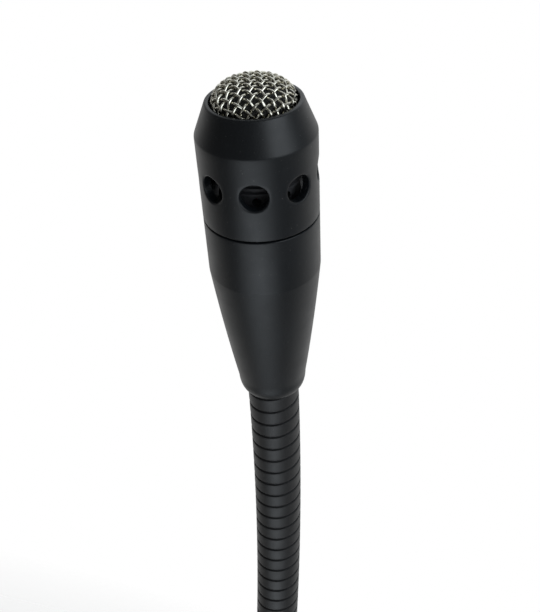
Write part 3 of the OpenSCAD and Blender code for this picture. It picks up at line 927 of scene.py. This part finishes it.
def make_materials():
    """One material for each of the record's slots."""
    black, soot = (0.0041, 0.0058, 0.0078), (0.0068, 0.0094, 0.0122)
    dust = (0.09, 0.088, 0.085)
    return {
        "head_shell": finish_of(
            "satin_black_anodised", black, soot, (0.38, 0.46),
            depth_mm=0.0035, turned=0.0012, specks=(dust, 0.76), lean=LEAN),
        "base_shell": finish_of(
            "satin_black_tube", black, soot, (0.36, 0.46),
            depth_mm=0.0035, turned=0.0012, specks=(dust, 0.77)),
        "grille_wire": finish_of(
            "stainless_wire", (0.62, 0.6, 0.515), (0.95, 0.925, 0.81), (0.18, 0.3),
            metal=1.0, grain_mm=0.12, depth_mm=0.004),
        "grille_frame": finish_of(
            "blackened_ring", (0.012, 0.012, 0.012), (0.025, 0.025, 0.026), (0.5, 0.6), metal=0.6),
        "foam": finish_of(
            "open_cell_foam", (0.016, 0.016, 0.015), (0.055, 0.055, 0.052), (0.9, 1.0),
            grain_mm=0.35, depth_mm=0.12, Sheen_Weight=0.15),
        "capsule_metal": finish_of(
            "brushed_can", (0.62, 0.62, 0.63), (0.78, 0.78, 0.79), (0.25, 0.38), metal=1.0, turned=0.003),
        "felt": finish_of(
            "black_felt", (0.01, 0.01, 0.01), (0.04, 0.04, 0.042), (0.9, 1.0),
            grain_mm=0.2, depth_mm=0.06, Sheen_Weight=0.4),
        "film": finish_of(
            "metallised_film", (0.62, 0.5, 0.26), (0.8, 0.68, 0.4), (0.12, 0.2), metal=1.0, depth_mm=0.001),
        "spacer": finish_of(
            "spacer_ring", (0.6, 0.58, 0.53), (0.78, 0.76, 0.7), (0.45, 0.6)),
        "backplate": finish_of(
            "brass_backplate", (0.55, 0.36, 0.12), (0.75, 0.54, 0.22), (0.25, 0.4), metal=1.0),
        "circuit_board": finish_of(
            "solder_mask", (0.01, 0.09, 0.035), (0.02, 0.15, 0.06), (0.28, 0.4),
            grain_mm=0.6, Coat_Weight=0.3),
        "rubber": finish_of(
            "moulded_rubber", (0.022, 0.023, 0.026), (0.04, 0.041, 0.045), (0.6, 0.72), grain_mm=0.15),
        "lead": finish_of(
            "red_insulation", (0.33, 0.015, 0.012), (0.5, 0.03, 0.02), (0.3, 0.42)),
        "ferrule": finish_of(
            "turned_brass", (0.5, 0.34, 0.13), (0.68, 0.49, 0.22), (0.22, 0.36), metal=1.0, turned=0.004),
        "neck_wire": finish_of(
            "black_winding", (0.013, 0.0132, 0.0142), (0.019, 0.0192, 0.0204), (0.42, 0.52),
            grain_mm=0.12, depth_mm=0.005, specks=(dust, 0.76)),
        "spring_wire": finish_of(
            "drawn_wire", (0.35, 0.35, 0.36), (0.55, 0.55, 0.56), (0.25, 0.4), metal=1.0),
        "cable": finish_of(
            "cable_jacket", (0.02, 0.02, 0.021), (0.035, 0.035, 0.037), (0.5, 0.62)),
        "plug_metal": finish_of(
            "black_nickel", (0.047, 0.049, 0.053), (0.08, 0.083, 0.089), (0.22, 0.34),
            metal=1.0, depth_mm=0.002, turned=0.002),
        "insert": finish_of(
            "moulded_insert", (0.012, 0.012, 0.0125), (0.022, 0.022, 0.023), (0.4, 0.52), grain_mm=0.2),
        "contact": finish_of(
            "gold_plate", (0.72, 0.47, 0.15), (0.9, 0.64, 0.25), (0.16, 0.28),
            metal=1.0, depth_mm=0.001, turned=0.001),
        "component": finish_of(
            "moulded_component", (0.02, 0.022, 0.03), (0.05, 0.052, 0.06), (0.35, 0.5)),
        "screw_steel": finish_of(
            "bright_steel", (0.35, 0.35, 0.36), (0.5, 0.5, 0.51), (0.22, 0.36), metal=1.0, depth_mm=0.003),
    }


# ---------- Assembly ----------

MATERIALS = make_materials()
SLOTS = {row["node"]: row["material_slot"] for row in frame["record"]["subparts"]}


# The neck's layers as (name in the CAD nodes, function that makes a stretch of it, slot)
LAYERS = [("winding", make_winding, "neck_wire"), ("spring", make_spring, "spring_wire"),
          ("cable", make_cable, "cable")]


def build_neck():
    """Each layer of each stretch, in place of its CAD nodes."""
    for k, low, high in stretches():
        for kind, make, slot_name in LAYERS:
            nodes = (f"neck_{kind}_{k}", f"neck_{kind}_{k + 1}")
            bend(dress(make(k, low, high), MATERIALS[slot_name], nodes=nodes), k)


def build_head():
    """The head's visible pieces and the foam."""
    dress(make_head_cap(), MATERIALS["head_shell"], "head", ["head_cap"])
    dress(make_head_body(), MATERIALS["head_shell"], "head", ["head_body"])
    dress(make_grille(), MATERIALS["grille_wire"], "head", ["grille_mesh"])
    foam = dress(make_foam(), MATERIALS["foam"], "head", ["foam_screen"])


def build_base():
    """The base's shells, the plug's contacts and the grub screws."""
    dress(make_collar(), MATERIALS["base_shell"], "base", ["base_collar"])
    dress(make_tube(), MATERIALS["base_shell"], "base", ["base_tube"])
    dress(make_plug_shell(), MATERIALS["plug_metal"], "base", ["plug_shell"])
    dress(make_insert(), MATERIALS["insert"], "base", ["plug_insert"])
    for number in PIN_ANGLES:
        dress(make_pin(number), MATERIALS["contact"], "base", [f"plug_pin_{number}"])
    sides = [(SPIGOT_R_MM - 0.8, BASE_R_MM - 0.2, SCREW_Z_MM, turn) for turn in (0.0, pi)]
    front = [(INSERT_R_MM - 1.2, PLUG_R_MM - 0.2, INSERT_SCREW_Z_MM, -pi / 2)]
    steel = MATERIALS["screw_steel"]
    dress(make_screws("tube_grub_screws", sides), steel, "base", ["tube_screws"])
    dress(make_screws("insert_grub_screw", front), steel, "base", ["insert_screw"])


def dress_cad_nodes():
    """The inner CAD nodes stay as they are and get the slot's material."""
    for name, cad in frame["nodes"].items():
        if cad.hide_render:
            continue
        cad.data.materials.clear()
        cad.data.materials.append(MATERIALS[SLOTS[name]])


# ---------- Stage, lights and camera ----------

# Radius of the floor, and the distances where it starts to fade and is gone, in metres
FLOOR_R = 1.4
FADE_START = 0.35
FADE_END = 1.3


def make_floor():
    """Pale round floor under the plug that fades out before it reaches a horizon."""
    bm = bmesh.new()
    bmesh.ops.create_circle(bm, cap_ends=True, segments=128, radius=FLOOR_R)
    mesh = bpy.data.meshes.new("floor")
    bm.to_mesh(mesh)
    bm.free()
    floor = bpy.data.objects.new("floor", mesh)
    bpy.context.scene.collection.objects.link(floor)
    made = bpy.data.materials.new("pale_floor")
    made.use_nodes = True
    tree = made.node_tree
    skin = tree.nodes["Principled BSDF"]
    skin.inputs["Base Color"].default_value = (0.86, 0.86, 0.855, 1.0)
    skin.inputs["Roughness"].default_value = 0.8
    skin.inputs["Emission Color"].default_value = (1.0, 0.985, 0.97, 1.0)
    skin.inputs["Emission Strength"].default_value = 0.2
    place = tree.nodes.new("ShaderNodeTexCoord").outputs["Object"]
    away = tree.nodes.new("ShaderNodeVectorMath")
    away.operation = "LENGTH"
    tree.links.new(place, away.inputs[0])
    tree.links.new(ramp(tree, away.outputs["Value"], FADE_START, FADE_END, 1.0, 0.0), skin.inputs["Alpha"])
    floor.data.materials.append(made)
    floor.visible_glossy = False


# The room's light as (azimuth, elevation, inner angle, outer angle, level), in degrees in the head's frame
WALL_LIGHT = [(112.0, -31.9, 30, 96, 0.76), (-61.5, 31.9, 60, 180, 0.085)]
WINDOW_LIGHT = [(-61.0, -36.0, 3, 24, 1.5), (-88.0, -36.0, 3, 24, 1.55), (-16.0, 19.0, 6, 31, 2.5),
                (90.0, 40.0, 10, 50, 0.7)]


def beam(tree, direction, azimuth, elevation, inner, outer, level):
    """Glow round a direction of the head's frame, in degrees: level inside inner, nothing outside outer."""
    axis = tree.nodes.new("ShaderNodeVectorMath")
    axis.operation = "DOT_PRODUCT"
    turn, rise = radians(azimuth), radians(elevation)
    towards = Vector((cos(turn) * cos(rise), sin(turn) * cos(rise), sin(rise)))
    axis.inputs[1].default_value = HEAD.to_3x3() @ towards
    tree.links.new(direction, axis.inputs[0])
    edge, core = cos(radians(outer)), cos(radians(inner))
    return ramp(tree, axis.outputs["Value"], edge, core, 0.0, level, smooth=True)


def make_world():
    """Dim studio with pale walls and soft windows. The camera itself sees plain white."""
    world = bpy.data.worlds.new("studio")
    bpy.context.scene.world = world
    world.use_nodes = True
    tree = world.node_tree
    tree.nodes.clear()
    direction = tree.nodes.new("ShaderNodeTexCoord").outputs["Generated"]
    glows = []
    for beams, colour in ((WALL_LIGHT, (1.0, 1.0, 0.99)), (WINDOW_LIGHT, (0.93, 1.0, 1.06))):
        light = beam(tree, direction, *beams[0])
        for each in beams[1:]:
            light = total(tree, light, beam(tree, direction, *each))
        glows.append(node(tree, "ShaderNodeBackground", Color=(*colour, 1.0)))
        tree.links.new(light, glows[-1].inputs["Strength"])
    glow = tree.nodes.new("ShaderNodeAddShader")
    tree.links.new(glows[0].outputs[0], glow.inputs[0])
    tree.links.new(glows[1].outputs[0], glow.inputs[1])
    plain = node(tree, "ShaderNodeBackground", Color=(1.0, 1.0, 1.0, 1.0), Strength=1.0)
    seen = tree.nodes.new("ShaderNodeLightPath").outputs["Is Camera Ray"]
    choose = tree.nodes.new("ShaderNodeMixShader")
    tree.links.new(seen, choose.inputs[0])
    tree.links.new(glow.outputs[0], choose.inputs[1])
    tree.links.new(plain.outputs[0], choose.inputs[2])
    tree.links.new(choose.outputs[0], tree.nodes.new("ShaderNodeOutputWorld").inputs["Surface"])


# The camera, in the head's frame: its place, the point it looks at, its roll and its lens
VIEW_TURN = radians(28.5)
VIEW_OUT_MM = 92.32
VIEW_UP_MM = 57.43
AIM_SIDE_MM = 0.287
AIM_UP_MM = -16.295
VIEW_ROLL = radians(3.795)
LENS_MM = 47.565


def make_camera():
    """Camera in front of the head and above it."""
    data = bpy.data.cameras.new("camera")
    data.lens = LENS_MM
    data.sensor_width = 36.0
    data.clip_start = 0.005
    camera = bpy.data.objects.new("camera", data)
    bpy.context.scene.collection.objects.link(camera)
    spot = HEAD @ (Vector((VIEW_OUT_MM * sin(VIEW_TURN), -VIEW_OUT_MM * cos(VIEW_TURN), VIEW_UP_MM)) * MM)
    aim = HEAD @ (Vector((AIM_SIDE_MM * cos(VIEW_TURN), AIM_SIDE_MM * sin(VIEW_TURN), AIM_UP_MM)) * MM)
    forward = (aim - spot).normalized()
    right = forward.cross(HEAD.to_3x3() @ Vector((0, 0, 1))).normalized()
    up = right.cross(forward)
    right, up = right * cos(VIEW_ROLL) - up * sin(VIEW_ROLL), up * cos(VIEW_ROLL) + right * sin(VIEW_ROLL)
    camera.matrix_world = Matrix.Translation(spot) @ Matrix((right, up, -forward)).transposed().to_4x4()
    bpy.context.scene.camera = camera


bpy.context.scene.view_settings.view_transform = "Standard"
build_neck()
build_head()
build_base()
dress_cad_nodes()
make_floor()
make_world()
make_camera()

bpy.context.view_layer.update()
